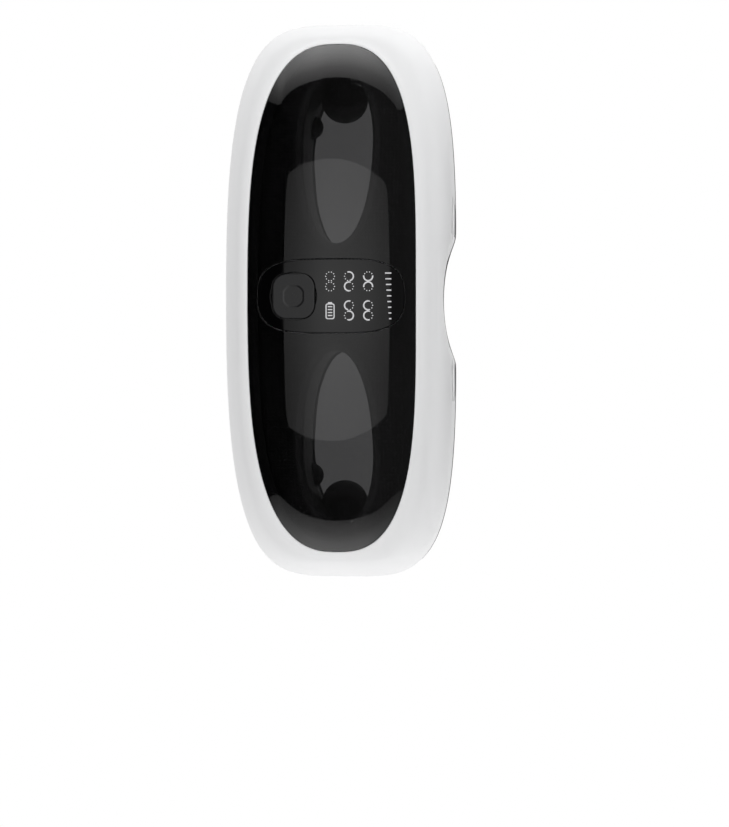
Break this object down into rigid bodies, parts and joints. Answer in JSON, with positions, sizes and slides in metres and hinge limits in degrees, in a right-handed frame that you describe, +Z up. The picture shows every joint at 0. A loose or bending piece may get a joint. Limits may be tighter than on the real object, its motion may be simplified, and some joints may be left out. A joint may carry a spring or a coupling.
{
  "type": "eye massager",
  "caption": "See-through eye massager: white goggle-shaped shell, smoky oval window with a control island, leaf-shaped eye tunnels with massage heads and a soft face cushion.",
  "frame": {"origin": "bottom centre of the bounding box, under the two cheek lobes", "axes": "+X along the length towards the wearer's left temple, +Y from the window to the face cushion, +Z up to the brow"},
  "size_m": [0.184, 0.0671, 0.074],
  "materials": {
    "white_shell": "white satin plastic",
    "smoky_window": "smoky see-through plastic, polished",
    "black_gloss": "black polished plastic",
    "black_matte": "fine textured black plastic",
    "head_rubber": "soft black silicone rubber",
    "leatherette": "black leatherette, soft",
    "bladder_film": "clear grey film",
    "heater_film": "amber film",
    "board_green": "green circuit board",
    "chip_black": "moulded black",
    "lamp": "lit lamp",
    "steel": "plain steel",
    "brass": "sintered brass",
    "cell_wrap": "blue cell wrap",
    "tube": "milky silicone tube",
    "grey_plastic": "dark grey plastic"
  },
  "bodies": {
    "body": {"front_shell": "white_shell", "window_lens": "smoky_window", "window_gasket": "black_matte", "control_panel": "black_gloss", "led_mask": "chip_black", "led_lamps": "lamp", "tact_switch": "steel", "main_board": "board_green", "main_chips": "chip_black", "inner_frame": "black_matte", "rear_shell": "black_matte", "face_cushion": "leatherette", "eye_sleeve_left": "black_matte", "eye_sleeve_right": "black_matte", "air_bladder_left": "bladder_film", "air_bladder_right": "bladder_film", "heating_film_left": "heater_film", "heating_film_right": "heater_film", "battery_cells": "cell_wrap", "pump_motor": "steel", "pump_head": "grey_plastic", "air_valve": "steel", "air_tubes": "tube", "vibration_motor_left": "steel", "vibration_motor_right": "steel", "speaker_left": "grey_plastic", "speaker_right": "grey_plastic", "charge_board": "board_green", "charge_socket": "steel", "shell_screws": "steel", "board_screws": "steel", "strap_pin_left": "steel", "strap_pin_right": "steel"},
    "power_button": {"power_button": "black_gloss"},
    "temple_head_left": {"temple_head_left": "head_rubber"},
    "temple_head_right": {"temple_head_right": "head_rubber"},
    "brow_head_left": {"brow_head_left": "head_rubber"},
    "brow_head_right": {"brow_head_right": "head_rubber"},
    "eccentric_left": {"eccentric_left": "brass"},
    "eccentric_right": {"eccentric_right": "brass"}
  },
  "joints": [
    {"name": "button_press", "type": "slide", "parent": "body", "child": "power_button", "axis": [0, 0.9952, -0.0974], "range_m": [0, 0.0006], "stiffness_N_per_m": 900},
    {"name": "temple_press_left", "type": "slide", "parent": "body", "child": "temple_head_left", "axis": [-0.7431, 0.6691, 0], "range_m": [0, 0.003], "stiffness_N_per_m": 300},
    {"name": "brow_press_left", "type": "slide", "parent": "body", "child": "brow_head_left", "axis": [0, 0.5, -0.866], "range_m": [0, 0.002], "stiffness_N_per_m": 300},
    {"name": "weight_spin_left", "type": "hinge", "parent": "body", "child": "eccentric_left", "pos_m": [0.0764, 0.004, 0.05484], "axis": [1, 0, 0], "continuous": true},
    {"name": "temple_press_right", "type": "slide", "parent": "body", "child": "temple_head_right", "axis": [0.7431, 0.6691, 0], "range_m": [0, 0.003], "stiffness_N_per_m": 300},
    {"name": "brow_press_right", "type": "slide", "parent": "body", "child": "brow_head_right", "axis": [0, 0.5, -0.866], "range_m": [0, 0.002], "stiffness_N_per_m": 300},
    {"name": "weight_spin_right", "type": "hinge", "parent": "body", "child": "eccentric_right", "pos_m": [-0.0764, 0.004, 0.05484], "axis": [-1, 0, 0], "continuous": true}
  ],
  "couplings": [
    {"joint": "temple_press_right", "follows": "temple_press_left", "ratio": 1},
    {"joint": "brow_press_left", "follows": "temple_press_left", "ratio": 0.6666},
    {"joint": "brow_press_right", "follows": "temple_press_left", "ratio": 0.6666}
  ]
}
